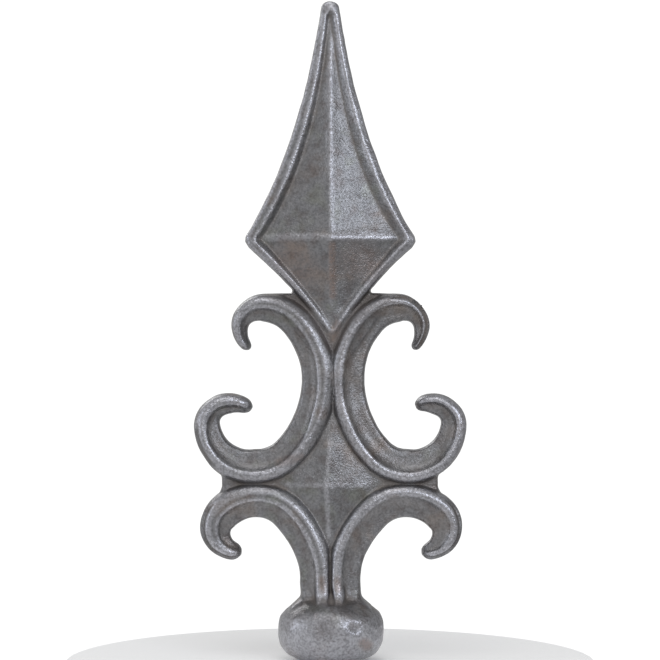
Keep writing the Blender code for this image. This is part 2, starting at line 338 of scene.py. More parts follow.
def carve_bar(stations, outer_side, channel):
    """Adds one bar. outer_side is +1 where the bead lies left of the walk; channel is 1 or 0."""
    low_x, low_z = stations[:, :2].min(0) - BAR_MARGIN
    high_x, high_z = stations[:, :2].max(0) + BAR_MARGIN
    place = window(low_x, high_x, low_z, high_z)
    px, pz = across[place].ravel(), up[place].ravel()
    nearest = nearest_station(px, pz, stations)
    x, z, heading, inner, outer, depth = stations[nearest].T
    ahead = (px - x) * np.cos(heading) + (pz - z) * np.sin(heading)
    aside = outer_side * ((pz - z) * np.cos(heading) - (px - x) * np.sin(heading))
    crest = (SINGLE_CREST + (DOUBLE_CREST - SINGLE_CREST) * channel) * outer
    bead = bead_depth(aside - crest, outer - crest, depth, lip_share(px, pz))
    bead = cut_wall(bead, outer - aside, depth)
    double = channel * (beyond(pz, *CHANNEL_ABOVE) + short_of(pz, *CHANNEL_BELOW))
    on_neck = short_of(pz, *NECK_BELOW) * short_of(np.abs(px), *NECK_WITHIN)
    wide = np.maximum(double, NECK_WIDENING * on_neck)
    arris_at = SINGLE_ARRIS + (DOUBLE_ARRIS - SINGLE_ARRIS) * wide
    cove = cove_depth(crest - aside, inner + crest, depth, arris_at)
    cove = cut_wall(cove, inner + aside, COVE_EDGE_SHARE * depth)
    relief = np.where(aside > crest, bead, cove)
    relief -= CHANNEL_DEPTH * double * np.exp(-(((aside - CHANNEL_AT) / CHANNEL_WIDTH) ** 2))
    last = len(stations) - 1
    past_end = np.where(nearest == 0, -ahead, 0) + np.where(nearest == last, ahead, 0)
    relief = np.where(past_end > 0, np.minimum(relief, -OUTSIDE_SLOPE * past_end), relief)
    carving[place] = np.maximum(carving[place], relief.reshape(across[place].shape))


print("the channel is", CHANNEL_DEPTH, "mm deep and", 2 * CHANNEL_WIDTH, "mm wide")

# %% The two C scrolls
# Each arc is a radius, a turn in degrees, and the inner width, outer width and depth at its end.
C_WAIST = (3.85, 106.0)
C_WAIST_SECTION = (8.1, 5.4, 7.6)
C_UPPER_ARCS = (
    (34.6, 42.0, 7.7, 4.6, 7.6),
    (18.2, 48.0, 7.0, 3.6, 7.2),
    (8.7, 45.0, 6.1, 2.7, 6.6),
    (8.3, 45.0, 3.6, 2.9, 6.0),
    (11.5, 42.0, 1.7, 2.1, 4.4),
)
C_LOWER_ARCS = (
    (41.9, 45.0, 8.3, 4.8, 7.6),
    (18.6, 45.0, 9.0, 4.4, 7.4),
    (18.2, 90.0, 5.6, 4.4, 6.8),
    (8.2, 45.0, 4.9, 3.6, 6.4),
    (9.2, 45.0, 4.6, 3.5, 6.0),
)
C_END_RIGHT = (12.0, 20.0, 3.0, 3.1, 4.8)
C_END_LEFT = (12.0, 29.0, 3.0, 3.1, 4.8)
C_UPPER_END_ROUND = 1.6
C_LOWER_END_ROUND = 2.6


def c_scroll(lower_end):
    """Right-hand C scroll from its upper curl down to its lower curl."""
    lower_arcs = C_LOWER_ARCS + (lower_end,)
    up_walk = walk_arcs(C_WAIST, math.radians(90), C_UPPER_ARCS, C_WAIST_SECTION, -1)
    down_walk = walk_arcs(C_WAIST, math.radians(-90), lower_arcs, C_WAIST_SECTION, 1)
    up_walk = rounded_end(up_walk, C_UPPER_END_ROUND)[::-1]
    up_walk[:, 2] += math.pi
    return ease_widths(np.vstack([up_walk, rounded_end(down_walk, C_LOWER_END_ROUND)[1:]]))


carve_bar(c_scroll(C_END_RIGHT), -1, 0)
carve_bar(mirrored(c_scroll(C_END_LEFT)), 1, 1)
print("map places with iron in the C scrolls:", int((carving > 0).sum()))

# %% The two lower scrolls
NECK_FOOT = (3.0, 16.0)
NECK_SECTION = (8.4, 4.5, 7.6)
NECK_LENGTH = 14.0
LOWER_ARCS = (
    (38.7, 45.0, 9.4, 4.4, 7.6),
    (18.6, 45.0, 9.0, 4.2, 7.0),
    (20.8, 45.0, 8.3, 5.1, 6.4),
    (9.5, 45.0, 8.1, 4.9, 6.0),
    (9.0, 86.0, 3.4, 3.4, 4.6),
)
LOWER_END_ROUND = 2.6
NECK_TOP = (NECK_FOOT[0], NECK_FOOT[1] + NECK_LENGTH)


def lower_scroll():
    """Right-hand lower scroll from inside the bulb up the neck and over."""
    heights = np.arange(NECK_FOOT[1], NECK_TOP[1], FINE_STEP)
    neck = [(NECK_FOOT[0], z, math.radians(90), *NECK_SECTION) for z in heights]
    arm = walk_arcs(NECK_TOP, math.radians(90), LOWER_ARCS, NECK_SECTION, -1)
    return ease_widths(np.vstack([neck, rounded_end(arm, LOWER_END_ROUND)]))


carve_bar(lower_scroll(), 1, 0)
carve_bar(mirrored(lower_scroll()), -1, 1)
print("deepest place of the scrolls:", round(carving.max(), 2), "mm")

# %% [markdown]
# The spearhead is a kite with concave sides. Its rim rises to a rounded crest and drops steeply
# to a field of four faces that meet in a point. Two outlines say it all: the kite and the field.
# Everything between them follows from the distances to the two.


# %% Outlines of the spearhead
def bow(start, middle, end, steps=60):
    """Points of a quadratic curve after its start, pulled towards the middle point."""
    t = np.linspace(0, 1, steps + 1)[1:, None]
    pull = 2 * t * (1 - t) * np.array(middle)
    return (1 - t) ** 2 * np.array(start) + pull + t**2 * np.array(end)


def both_sides(right):
    """A closed outline from its right half, which runs from top to bottom on the axis."""
    right = np.array(right)
    return np.vstack([right, right[-2:0:-1] * (-1, 1)])


HEAD_TIP_HALF = 3.5
HEAD_TIP_ROUND = 2.6


def kite(top, tip_half, corner, bottom, upper_bow, lower_bow, blunt=(0.0, 0.0)):
    """Outline of a kite with concave sides, a round tip and blunt side corners."""
    round_off = HEAD_TIP_ROUND * tip_half / HEAD_TIP_HALF
    turns = np.radians(np.linspace(90, 0, 9))
    tip = [(tip_half * math.cos(a), top - round_off + round_off * math.sin(a)) for a in turns]
    upper = bow((tip_half, top - round_off), upper_bow, corner)
    # The side corner is cut blunt, and the upper side ends a third of the way along the cut.
    lower_start = (corner[0] - blunt[0], corner[1] - blunt[1])
    upper[-1] = (np.array(corner) * 2 + lower_start) / 3
    lower = bow(lower_start, lower_bow, (0.0, bottom))
    return both_sides(np.vstack([tip, upper, lower]))


print("a bow has", len(bow((0.0, 0.0), (1.0, 1.0), (2.0, 0.0))), "points")


# %% Distances to an outline
FAR_AWAY = 1e9


def distance_inside(place, outline):
    """Distance to a closed outline, positive inside it and negative outside."""
    px, pz = across[place].ravel(), up[place].ravel()
    best = np.full(px.size, FAR_AWAY)
    inside = np.zeros(px.size, bool)
    for (ax, az), (bx, bz) in zip(outline, np.roll(outline, -1, axis=0)):
        dx, dz = bx - ax, bz - az
        along = np.clip(((px - ax) * dx + (pz - az) * dz) / (dx * dx + dz * dz), 0, 1)
        best = np.minimum(best, (px - ax - along * dx) ** 2 + (pz - az - along * dz) ** 2)
        if az != bz:
            inside ^= ((az > pz) != (bz > pz)) & (px < ax + (pz - az) / dz * dx)
    return (np.where(inside, 1, -1) * np.sqrt(best)).reshape(across[place].shape)


def reach_towards(outline, centre, angles):
    """How far the outline is from a centre in each direction."""
    offsets = outline - np.array(centre)
    bearing = np.arctan2(offsets[:, 1], offsets[:, 0])
    order = np.argsort(bearing)
    reach = np.hypot(offsets[:, 0], offsets[:, 1])
    return np.interp(angles, bearing[order], reach[order], period=2 * math.pi)


square = np.array([(1.0, 1.0), (-1.0, 1.0), (-1.0, -1.0), (1.0, -1.0)])
to_corner = reach_towards(square, (0.0, 0.0), math.pi / 4)
print("a square of 2 mm reaches", to_corner.round(2), "mm at its corner")

# %% Sizes of the spearhead
HEIGHT = 250.0
HEAD_CORNER = (32.8, 159.4)
HEAD_BOTTOM = 120.0
HEAD_BLUNT = (1.2, 2.6)
HEAD_UPPER_BOW = (11.4, 193.4)
HEAD_LOWER_BOW = (11.0, 138.8)
FIELD_CORNER = (26.0, 159.4)
FIELD_TOP = 243.6
FIELD_BOTTOM = 126.5
FIELD_TIP_HALF = 0.5
FIELD_UPPER_BOW = (5.0, 189.6)
FIELD_LOWER_BOW = (8.2, 139.9)
FIELD_DEPTH = 3.0
LOWER_FIELD_DEPTH = 4.2
LOWER_FIELD_TURN = 1.2
FIELD_RIDGE_ROUND = 0.6
APEX_DEPTH = 9.5
CROSS_BEAD = 0.3
CROSS_BEAD_RISE = 0.6
CROSS_BEAD_WIDTH = 1.2
TIP_THINNING = 0.62
TIP_THINNING_LENGTH = 70.0


def tip_share(z):
    """How much of its full depth the head has at a height: less towards the tip."""
    return TIP_THINNING + (1 - TIP_THINNING) * np.clip((HEIGHT - z) / TIP_THINNING_LENGTH, 0, 1)


print("the tip has", tip_share(HEIGHT), "of the head's full depth")

# %% Sizes of its rim
# Above the side corners the left rim's crest lies further in than the right one's. Fine lines run
# along the rim there: each has a distance from the edge, a width, a depth and its side.
RIM_DEPTH = 5.6
RIM_EDGE_SHARE = 0.74
RIM_BROW = 0.6
RIM_EASE = 6.0
OUTER_FLANK_POWER = 0.9
UPPER_CREST_AT = 0.45
LOWER_CREST_AT = 0.56
LEFT_CREST_SHIFT = 0.17
RIM_LINES = ((1.0, 0.45, 0.28, 1), (1.0, 0.45, 0.2, -1), (2.2, 0.4, 0.14, -1))
SIDE_EASE = 4.0
HEAD_FILLET = 1.0
HEAD_WINDOW = (-36.0, 36.0, 117.0, 253.0)
print("the rim stands", round(RIM_DEPTH - FIELD_DEPTH, 1), "mm above the foot of the upper faces")


# %% Carve the spearhead
def field_depths(x, z, centre, field_outline):
    """Depths of the four faces, and the depth at the face's foot in each place's direction."""
    angle = np.arctan2(z - centre[1], x)
    reach = reach_towards(field_outline, centre, angle)
    share = np.clip(np.hypot(x, z - centre[1]) / reach, 0, 1)
    below = smooth_step(-LOWER_FIELD_TURN * np.sin(angle))
    foot_depth = FIELD_DEPTH * tip_share(centre[1] + reach * np.sin(angle))
    foot_depth += (LOWER_FIELD_DEPTH - FIELD_DEPTH) * below
    field = soften(APEX_DEPTH + (foot_depth - APEX_DEPTH) * share, FIELD_RIDGE_ROUND)
    field += CROSS_BEAD * np.exp(-(((z - centre[1] - CROSS_BEAD_RISE) / CROSS_BEAD_WIDTH) ** 2))
    return field, foot_depth


def rim_depths(x, z, centre, from_rim, from_field, foot_depth):
    """Depths of the rim from its outer edge over the crest down to the field."""
    outward = np.clip(from_rim / np.maximum(from_rim - from_field, 1e-6), 0, 1)
    above = smooth_step((z - centre[1] + RIM_EASE / 2) / RIM_EASE)
    crest_at = LOWER_CREST_AT + (UPPER_CREST_AT - LOWER_CREST_AT) * above
    crest_at += LEFT_CREST_SHIFT * above * smooth_step(0.5 - x / SIDE_EASE)
    outer_rise = np.clip(outward / crest_at, 0, 1) ** OUTER_FLANK_POWER
    outer_flank = RIM_EDGE_SHARE + (1 - RIM_EDGE_SHARE) * outer_rise
    fall = np.clip((outward - crest_at) / (1 - crest_at), 0, 1)
    rim_top = RIM_DEPTH * tip_share(z)
    inner_flank = 1 + (foot_depth / rim_top - 1) * fall
    rim = rim_top * np.where(outward < crest_at, outer_flank, inner_flank)
    for from_edge, width, sunk, side in RIM_LINES:
        beside = smooth_step(0.5 + side * x / SIDE_EASE) * above
        rim -= sunk * beside * np.exp(-(((from_rim - from_edge) / width) ** 2))
    return rim


def carve_head():
    """Adds the spearhead over what is there already."""
    place = window(*HEAD_WINDOW)
    x, z = across[place], up[place]
    centre = (0.0, HEAD_CORNER[1])
    rim_outline = kite(
        HEIGHT, HEAD_TIP_HALF, HEAD_CORNER, HEAD_BOTTOM, HEAD_UPPER_BOW, HEAD_LOWER_BOW, HEAD_BLUNT
    )
    field_outline = kite(
        FIELD_TOP, FIELD_TIP_HALF, FIELD_CORNER, FIELD_BOTTOM, FIELD_UPPER_BOW, FIELD_LOWER_BOW
    )
    from_rim = distance_inside(place, rim_outline)
    from_field = distance_inside(place, field_outline)
    field, foot_depth = field_depths(x, z, centre, field_outline)
    rim = rim_depths(x, z, centre, from_rim, from_field, foot_depth)
    relief = np.where(from_field > 0, field, np.maximum(rim, PARTING_LAND))
    relief = cut_wall(relief, from_rim, RIM_DEPTH, RIM_BROW)
    carving[place] = higher_of(carving[place], relief, HEAD_FILLET)


print("map places for the head:", carving[window(*HEAD_WINDOW)].size)

# %% [markdown]
# Thin webs tie the scrolls together, and a four-pointed boss rises between the two pairs. A
# pattern-maker runs wax fillets where such faces meet the beads, so the metal flows there. Taking
# the higher of two depths with a rounded meeting gives the same fillet in one line.

# %% The boss and its web
BOSS_APEX = (-1.9, 65.8)
BOSS_DEPTH = 7.2
BOSS_TOP = 106.0
BOSS_BOTTOM = 26.0
BOSS_SIDE_POINT = (22.5, 66.9)
BOSS_WAIST = (41.1, 67.1)
BOSS_WAIST_CURVE = ((0.4, 3.4), (0.0, 1.6), (0.0, -1.6), (1.0, -4.0))
BOSS_RIDGE_ROUND = 1.2
BOSS_WINDOW = (-46.0, 46.0, 22.0, 110.0)
STAR_MARGIN = 2.0
EVERY_SIXTH = 6
WEB_DEPTH = 3.4
WEB_BROW = 1.2
WEB_FILLET = 2.6


def carve_boss():
    """Adds the web between the scrolls and the four faces of the boss on it."""
    place = window(*BOSS_WINDOW)
    upper = walk_arcs(C_WAIST, math.radians(-90), C_LOWER_ARCS[:2], C_WAIST_SECTION, 1)
    lower = walk_arcs(NECK_TOP, math.radians(90), LOWER_ARCS[:2], NECK_SECTION, -1)
    upper, lower = upper[::EVERY_SIXTH, :2], lower[::EVERY_SIXTH, :2]
    top, bottom = [(0.0, BOSS_TOP)], [(0.0, BOSS_BOTTOM)]
    waist = [(BOSS_WAIST[0] + out, BOSS_WAIST[1] + rise) for out, rise in BOSS_WAIST_CURVE]
    web_outline = both_sides(np.vstack([top, upper[1:], waist, lower[:0:-1], bottom]))
    from_web = distance_inside(place, web_outline)
    web = cut_wall(WEB_DEPTH, from_web, WEB_DEPTH, WEB_BROW)
    upper = upper[upper[:, 0] < BOSS_SIDE_POINT[0] - STAR_MARGIN]
    lower = lower[lower[:, 0] < BOSS_SIDE_POINT[0] - STAR_MARGIN]
    star = both_sides(np.vstack([top, upper[1:], [BOSS_SIDE_POINT], lower[:0:-1], bottom]))
    apex_x, apex_z = BOSS_APEX
    angle = np.arctan2(up[place] - apex_z, across[place] - apex_x)
    share = np.hypot(up[place] - apex_z, across[place] - apex_x) / reach_towards(star, BOSS_APEX, angle)
    faces = soften(BOSS_DEPTH + (WEB_DEPTH - BOSS_DEPTH) * share, BOSS_RIDGE_ROUND)
    faces = np.where(share < 1, faces, OUTSIDE)
    carving[place] = higher_of(carving[place], np.maximum(web, faces), WEB_FILLET)


carve_boss()
print("depth at the boss's apex:", round(carving[window(-2.0, -1.7, 65.7, 66.0)].max(), 2), "mm")

# %% The web behind the head's foot
NECK_WEB = ((0.0, 158.0), (14.7, 141.4), (15.2, 139.2), (24.0, 138.9), (19.0, 131.0), (0.0, 104.0))
NECK_WEB_DEPTH = 2.6
NECK_WEB_SWELL = 2.0
SWELL_BELOW = (138.0, 8.0)
NECK_WEB_FILLET = 2.6
JOINT_DEPTH = 0.25
JOINT_WIDTH = 0.35
JOINT_ABOVE = (92.0, 6.0)
NECK_WEB_WINDOW = (-30.0, 30.0, 92.0, 162.0)


def carve_neck_web():
    """The web behind the head's foot, and the crease where the two C scrolls meet."""
    place = window(*NECK_WEB_WINDOW)
    x, z = across[place], up[place]
    from_web = distance_inside(place, both_sides(NECK_WEB))
    depth = NECK_WEB_DEPTH + NECK_WEB_SWELL * short_of(z, *SWELL_BELOW)
    web = cut_wall(depth, from_web, depth, WEB_BROW)
    joint = JOINT_DEPTH * np.exp(-((x / JOINT_WIDTH) ** 2)) * beyond(z, *JOINT_ABOVE)
    carving[place] = higher_of(carving[place], web, NECK_WEB_FILLET) - joint


carve_neck_web()
carve_head()
print("carved places:", int((carving > 0).sum()))

# %% [markdown]
# At the foot of the neck the two beads end in rounded tongues, with a slit between them that
# opens to a small pit above the bulb. The neck's sides flare out to meet the bulb. Each is a
# change of the map near the neck alone. Last, the whole map is softened like a pattern that has
# been moulded from many times.

# %% Sizes at the foot of the neck
# A pair is the height where a change starts, and the length over which it grows below that.
TONGUES = ((-3.3, 3.0, 20.2), (2.9, 2.6, 20.6))
TONGUE_ROUND = 4.4
TONGUE_DEPTH = 9.4
TONGUE_FLANK = 1.6
TONGUE_BELOW = (32.0, 11.0)
FOOT_DEPTH = 4.8
FOOT_BELOW = (29.0, 6.0)
FOOT_SWELL = 3.2
FOOT_SWELL_BELOW = (28.0, 8.0)
FOOT_SWELL_POWER = 3
FOOT_SWELL_HALF = 10.0
FLARE = 3.4
FLARE_BELOW = (26.0, 6.0)
FLARE_BROW = 2.5
SLIT_HALF = 0.5
SLIT_DEPTH = 5.2
SLIT_BELOW = (44.0, 6.0)
NECK_WINDOW = (-18.0, 18.0, 16.0, 48.0)
print("tongue tips at", [tip_z for _, _, tip_z in TONGUES], "mm above the weld face")


# %% Shape the foot of the neck
def growth(z, start, length):
    """How far a change has grown at a height, from 0 at its start to 1 a length below."""
    return np.clip((start - z) / length, 0, 1)


def tongue_share(x, z):
    """1 on the tongues, easing to 0 at their flanks."""
    raised = np.zeros_like(x)
    for centre_x, half_width, tip_z in TONGUES:
        past = np.clip((tip_z + TONGUE_ROUND - z) / TONGUE_ROUND, 0, 2)
        inside = 1 - ((x - centre_x) / half_width) ** 2 - past**2
        raised = np.maximum(raised, smooth_step(inside * TONGUE_FLANK))
    return raised


def shape_neck_foot():
    """Flares the neck, ends its beads in tongues and sinks the slit between them."""
    place = window(*NECK_WINDOW)
    x, z = across[place], up[place]
    half_width = NECK_FOOT[0] + NECK_SECTION[0] + FLARE * growth(z, *FLARE_BELOW) ** 2
    skirt = cut_wall(FOOT_DEPTH, half_width - np.abs(x), FOOT_DEPTH, FLARE_BROW)
    relief = np.maximum(carving[place], np.where(z < FLARE_BELOW[0], skirt, OUTSIDE))
    swell = FOOT_SWELL * growth(z, *FOOT_SWELL_BELOW) ** FOOT_SWELL_POWER
    swell = swell * np.clip(1 - (x / FOOT_SWELL_HALF) ** 2, 0, 1)
    base = np.minimum(relief, FOOT_DEPTH) + np.where(relief > 0, swell, 0)
    flare = short_of(z, *TONGUE_BELOW)
    raised = tongue_share(x, z)
    tongue_top = np.maximum(relief + (TONGUE_DEPTH - relief) * flare, base)
    with_tongues = base + (tongue_top - base) * raised
    low = short_of(z, *FOOT_BELOW)
    relief = relief + (with_tongues - relief) * low + (1 - low) * (tongue_top - relief) * raised * flare
    slit = np.exp(-((x / SLIT_HALF) ** 2)) * short_of(z, *SLIT_BELOW)
    carving[place] = relief + (np.minimum(relief, SLIT_DEPTH) - relief) * slit


shape_neck_foot()
print("deepest place of the neck:", round(carving[window(*NECK_WINDOW)].max(), 2), "mm")

# %% Soften the carving like a worn pattern
SOFTENING = 0.25
SHALLOWEST = -6.0
carving = soften(np.maximum(carving, SHALLOWEST), SOFTENING)
print("deepest place of the carving:", round(carving.max(), 2), "mm")

# %% [markdown]
# The bulb is the lump that is welded to the bar. It is too round for a map of depths at its edge,
# and a scaled sphere would be too pointed at its sides. So it is a formula in space: a squarish
# bun, slightly flattened front to back, with a shallow dish on top where the neck stands.

# %% The bulb as a formula
BULB_HALF_WIDTH = 20.1
BULB_HALF_DEPTH = 17.5
BULB_MIDDLE = 12.4
BULB_UPPER = 11.6
BULB_UPPER_POWER = 2.2
BULB_LOWER = 13.4
BULB_LOWER_POWER = 3.0
BULB_RADIUS = 15.0
BULB_TOP = 21.2
BULB_DISH = 0.009
BULB_DISH_ROUND = 1.5


def inside_bulb(x, y, z):
    """About how deep a point lies inside the bulb, in millimetres; negative outside."""
    above = z > BULB_MIDDLE
    height = np.where(above, BULB_UPPER, BULB_LOWER)
    power = np.where(above, BULB_UPPER_POWER, BULB_LOWER_POWER)
    flat = np.hypot(x / BULB_HALF_WIDTH, y / BULB_HALF_DEPTH)
    level = (flat**power + np.abs((z - BULB_MIDDLE) / height) ** power) ** (1 / power)
    dish = BULB_TOP + BULB_DISH * (x**2 + y**2) - z
    return lower_of((1 - level) * BULB_RADIUS, dish, BULB_DISH_ROUND)


print("the bulb's centre lies", round(float(inside_bulb(0.0, 0.0, BULB_MIDDLE)), 2), "mm inside")

# %% [markdown]
# Now the skin. Lifting a flat grid would tear on the upright walls. So the frame's solid is
# remeshed into small even quads, and every vertex is moved onto the carved surface: outside the
# map's depth it moves in, inside it moves out. A few rounds of evening out and moving again leave
# a clean, dense mesh that keeps the solid's form.

# %% Remesh the solid
VOXEL = 0.54 * MM


def even_mesh(source):
    """The solid as a mesh of even quads in a new object."""
    copy = bpy.data.objects.new("casting_skin", source.data.copy())
    bpy.context.scene.collection.objects.link(copy)
    remesh = copy.modifiers.new("remesh", "REMESH")
    remesh.mode = "VOXEL"
    remesh.voxel_size = VOXEL
    graph = bpy.context.evaluated_depsgraph_get()
    mesh = bpy.data.meshes.new_from_object(copy.evaluated_get(graph))
    copy.modifiers.clear()
    copy.data = mesh
    return copy


skin = even_mesh(casting_node)
print("skin triangles:", 2 * len(skin.data.polygons))


# %% Read the map at any point
# A point is kept this many places short of the map's far edges, so that it has a place beyond it.
SHORT_OF_EDGE = 1.001


def sample(values, x, z):
    """A map's value at each point, mixed from the four places around it."""
    column = np.clip((x - across_line[0]) / MAP_STEP, 0, values.shape[0] - SHORT_OF_EDGE)
    row = np.clip((z - up_line[0]) / MAP_STEP, 0, values.shape[1] - SHORT_OF_EDGE)
    i, j = column.astype(int), row.astype(int)
    a, b = column - i, row - j
    low = values[i, j] * (1 - b) + values[i, j + 1] * b
    high = values[i + 1, j] * (1 - b) + values[i + 1, j + 1] * b
    return low * (1 - a) + high * a


def highest_near(values, reach):
    """For each place of a map, the highest value within a square around it."""
    half = round(reach / MAP_STEP)
    for axis in (0, 1):
        highest = values.copy()
        for shift in range(1, half + 1):
            highest = np.maximum(highest, np.roll(values, shift, axis))
            highest = np.maximum(highest, np.roll(values, -shift, axis))
        values = highest
    return values


CREST_REACH = 9.0
EDGE_REACH = 2.5
slope_x, slope_z = np.gradient(carving, MAP_STEP)
crest_near = highest_near(carving, CREST_REACH)
top_beside = highest_near(carving, EDGE_REACH)
print("steepest wall:", round(float(np.abs(slope_x).max()), 1), "mm per mm")

# %% Join the carving and the bulb
PARTING_ROUND = 0.4
FILLET = 3.0


def inside_casting(x, y, z):
    """About how deep each point lies inside the casting, in millimetres; negative outside."""
    half = np.sqrt(y**2 + PARTING_ROUND**2) - PARTING_ROUND
    steepness = np.sqrt(1 + sample(slope_x, x, z) ** 2 + sample(slope_z, x, z) ** 2)
    relief = (sample(carving, x, z) - half) / steepness
    relief = np.minimum(relief, sample(top_beside, x, z) - half)
    joined = higher_of(relief, inside_bulb(x, y, z), FILLET)
    return np.minimum(joined, z)


print("5 mm up in the bulb's middle the value is", inside_casting(*np.array([[0.0], [0.0], [5.0]])))

# %% Steps that move points
GENTLEST_SLOPE = 0.05


def pull_to_surface(points, rounds, probe=0.05, longest=0.5):
    """Moves points along the slope of the inside function until it is zero."""
    for _ in range(rounds):
        value = inside_casting(*points.T)
        slope = np.empty_like(points)
        for axis in range(3):
            shift = np.zeros(3)
            shift[axis] = probe
            ahead = inside_casting(*(points + shift).T)
            slope[:, axis] = (ahead - inside_casting(*(points - shift).T)) / (2 * probe)
        move = slope * (-value / np.maximum((slope**2).sum(1), GENTLEST_SLOPE))[:, None]
        length = np.linalg.norm(move, axis=1)
        points = points + move * np.minimum(1, longest / np.maximum(length, 1e-9))[:, None]
    return points


def even_out(points, edges, rounds):
    """Moves each point half-way to the middle of its neighbours."""
    count = np.bincount(edges.ravel(), minlength=len(points))
    for _ in range(rounds):
        middle = np.empty_like(points)
        for axis in range(3):
            first = np.bincount(edges[:, 0], points[edges[:, 1], axis], len(points))
            second = np.bincount(edges[:, 1], points[edges[:, 0], axis], len(points))
            middle[:, axis] = (first + second) / count
        points = (points + middle) / 2
    return points


print("a point just above the weld face sinks to z", pull_to_surface(np.array([[0.0, 0.0, 0.3]]), 2)[0, 2])

# %% Move the skin onto the carving
FIT_ROUNDS = 4


def mesh_points(mesh):
    """The places of a mesh's vertices in millimetres."""
    values = np.empty(len(mesh.vertices) * 3)
    mesh.vertices.foreach_get("co", values)
    return values.reshape(-1, 3) / MM


def mesh_edges(mesh):
    """The two vertex numbers of each edge."""
    pairs = np.empty(len(mesh.edges) * 2, int)
    mesh.edges.foreach_get("vertices", pairs)
    return pairs.reshape(-1, 2)


points = mesh_points(skin.data)
edges = mesh_edges(skin.data)
for _ in range(FIT_ROUNDS):
    points = pull_to_surface(even_out(points, edges, 2), 2)
points = pull_to_surface(points, 2)
gap = np.abs(inside_casting(*points.T))
print("mean and largest gap to the carving in mm:", round(gap.mean(), 4), round(gap.max(), 3))

# %% [markdown]
# A casting is never quite true. The two mould halves meet a little off, thick and thin places
# shrink unevenly, and hand fettling takes a bit off here and there. Gentle waves a few
# millimetres long let the highlights wander as they do on real iron. They move the mesh itself,
# because bump in a material would leave the outline ruler-straight.

# %% Scars of this casting
# Each scar runs between two places of the front and has a half-width and a rise, in millimetres.
SCARS = (
    ((-0.3, 9.4), (-0.3, 12.0), 0.5, -0.3),
    ((-2.8, 9.2), (1.6, 8.9), 0.5, -0.3),
    ((8.2, 13.8), (9.8, 13.3), 2.6, 0.5),
    ((8.2, 13.8), (9.8, 13.3), 1.7, -1.2),
    ((-4.4, 13.2), (-3.8, 14.6), 0.8, -0.2),
    ((-1.8, 15.8), (0.6, 14.8), 0.8, -0.22),
    ((5.0, 176.6), (8.6, 174.4), 0.45, 0.14),
    ((9.4, 174.8), (13.6, 176.2), 0.45, 0.14),
    ((10.4, 162.9), (17.4, 162.4), 0.4, 0.1),
    ((-12.0, 161.4), (-9.8, 162.0), 0.6, -0.12),
    ((7.9, 202.0), (7.9, 203.4), 0.6, 0.35),
    ((6.4, 235.4), (6.4, 236.8), 0.8, 0.45),
    ((-33.2, 134.0), (-32.4, 134.8), 0.6, -0.35),
    ((-11.6, 105.4), (-10.4, 105.8), 0.5, -0.3),
)


def line_distance(x, z, start, end):
    """How far each place is from a short line between two places."""
    ax, az = start
    dx, dz = end[0] - ax, end[1] - az
    along = np.clip(((x - ax) * dx + (z - az) * dz) / (dx * dx + dz * dz), 0, 1)
    return np.hypot(x - ax - along * dx, z - az - along * dz)


def on_front(y):
    """1 on the front of the casting and 0 on its back."""
    return smooth_step(0.5 - y / 2)


def scarred(points):
    """Height of the scars at each point."""
    x, y, z = points.T
    height = np.zeros(len(points))
    for start, end, width, rise in SCARS:
        height += rise * np.exp(-((line_distance(x, z, start, end) / width) ** 2)) * on_front(y)
    return height


print("scars:", len(SCARS))

# %% Waves of the skin
# Each pair is a wave's length and height in millimetres.
WAVES = ((16.0, 0.07), (7.0, 0.026), (3.4, 0.012), (2.0, 0.006))
WAVES_PER_LENGTH = 14
WAVE_SEED = 7
FULL_TURN = 6.28


def wavy(points, seed):
    """A smooth random height for each point: sums of waves in seeded directions."""
    chance = np.random.default_rng(seed)
    height = np.zeros(len(points))
    for length, size in WAVES:
        for _ in range(WAVES_PER_LENGTH):
            way = chance.normal(size=3)
            way *= 2 * math.pi / (length * np.linalg.norm(way))
            wave = np.sin(points @ way + chance.uniform(0, FULL_TURN))
            height += size * math.sqrt(2 / WAVES_PER_LENGTH) * wave
    return height


print("wave lengths in mm:", [length for length, _ in WAVES])

# %% The casting's lean
WAIST_LEAN = 1.18
WAIST_AT = 102.0
WAIST_REACH = 40.0
WAIST_OUT = (18.0, 22.0)
WAIST_LOSS = 0.85
ARM_LEAN = 0.5
ARMS_BEYOND = (22.0, 14.0)
ARMS_BELOW = (66.0, 10.0)
FOOT_LEAN = 0.4
FOOT_UNDER = (30.0, 6.0)


def out_of_true(points):
    """Leans the casting sideways by up to a millimetre or so, as this one is."""
    out, z = np.abs(points[:, 0]), points[:, 2]
    waist = np.exp(-(((z - WAIST_AT) / WAIST_REACH) ** 2)) * (1 - WAIST_LOSS * beyond(out, *WAIST_OUT))
    low_arms = beyond(out, *ARMS_BEYOND) * short_of(z, *ARMS_BELOW)
    foot = short_of(z, *FOOT_UNDER)
    moved = points.copy()
    moved[:, 0] += WAIST_LEAN * waist + ARM_LEAN * low_arms + FOOT_LEAN * foot
    return moved


print("largest lean in mm:", WAIST_LEAN)

# %% Give the skin its waves, scars and lean
# The weld face stays flat, the bulb is lumpier than the rest, and nothing leaves the CAD box.
SHRINK = 0.05
FLAT_ABOVE = (0.2, 2.0)
BULB_LUMPINESS = 1.4
BULB_BELOW = (22.0, 4.0)
BOX_MARGIN = 0.02
skin.data.vertices.foreach_set("co", (points * MM).ravel())
skin.data.update()
normals = np.empty(len(points) * 3)
skin.data.vertex_normals.foreach_get("vector", normals)
normals = normals.reshape(-1, 3)
flat_foot = beyond(points[:, 2], *FLAT_ABOVE)
lumpiness = 1 + BULB_LUMPINESS * short_of(points[:, 2], *BULB_BELOW)
waves = wavy(points, WAVE_SEED) * lumpiness - SHRINK + scarred(points)
waved = out_of_true(points + normals * (waves * flat_foot)[:, None])
box_low = np.array(cad_low) / MM + (BOX_MARGIN, BOX_MARGIN, 0)
box_high = np.array(cad_high) / MM - BOX_MARGIN
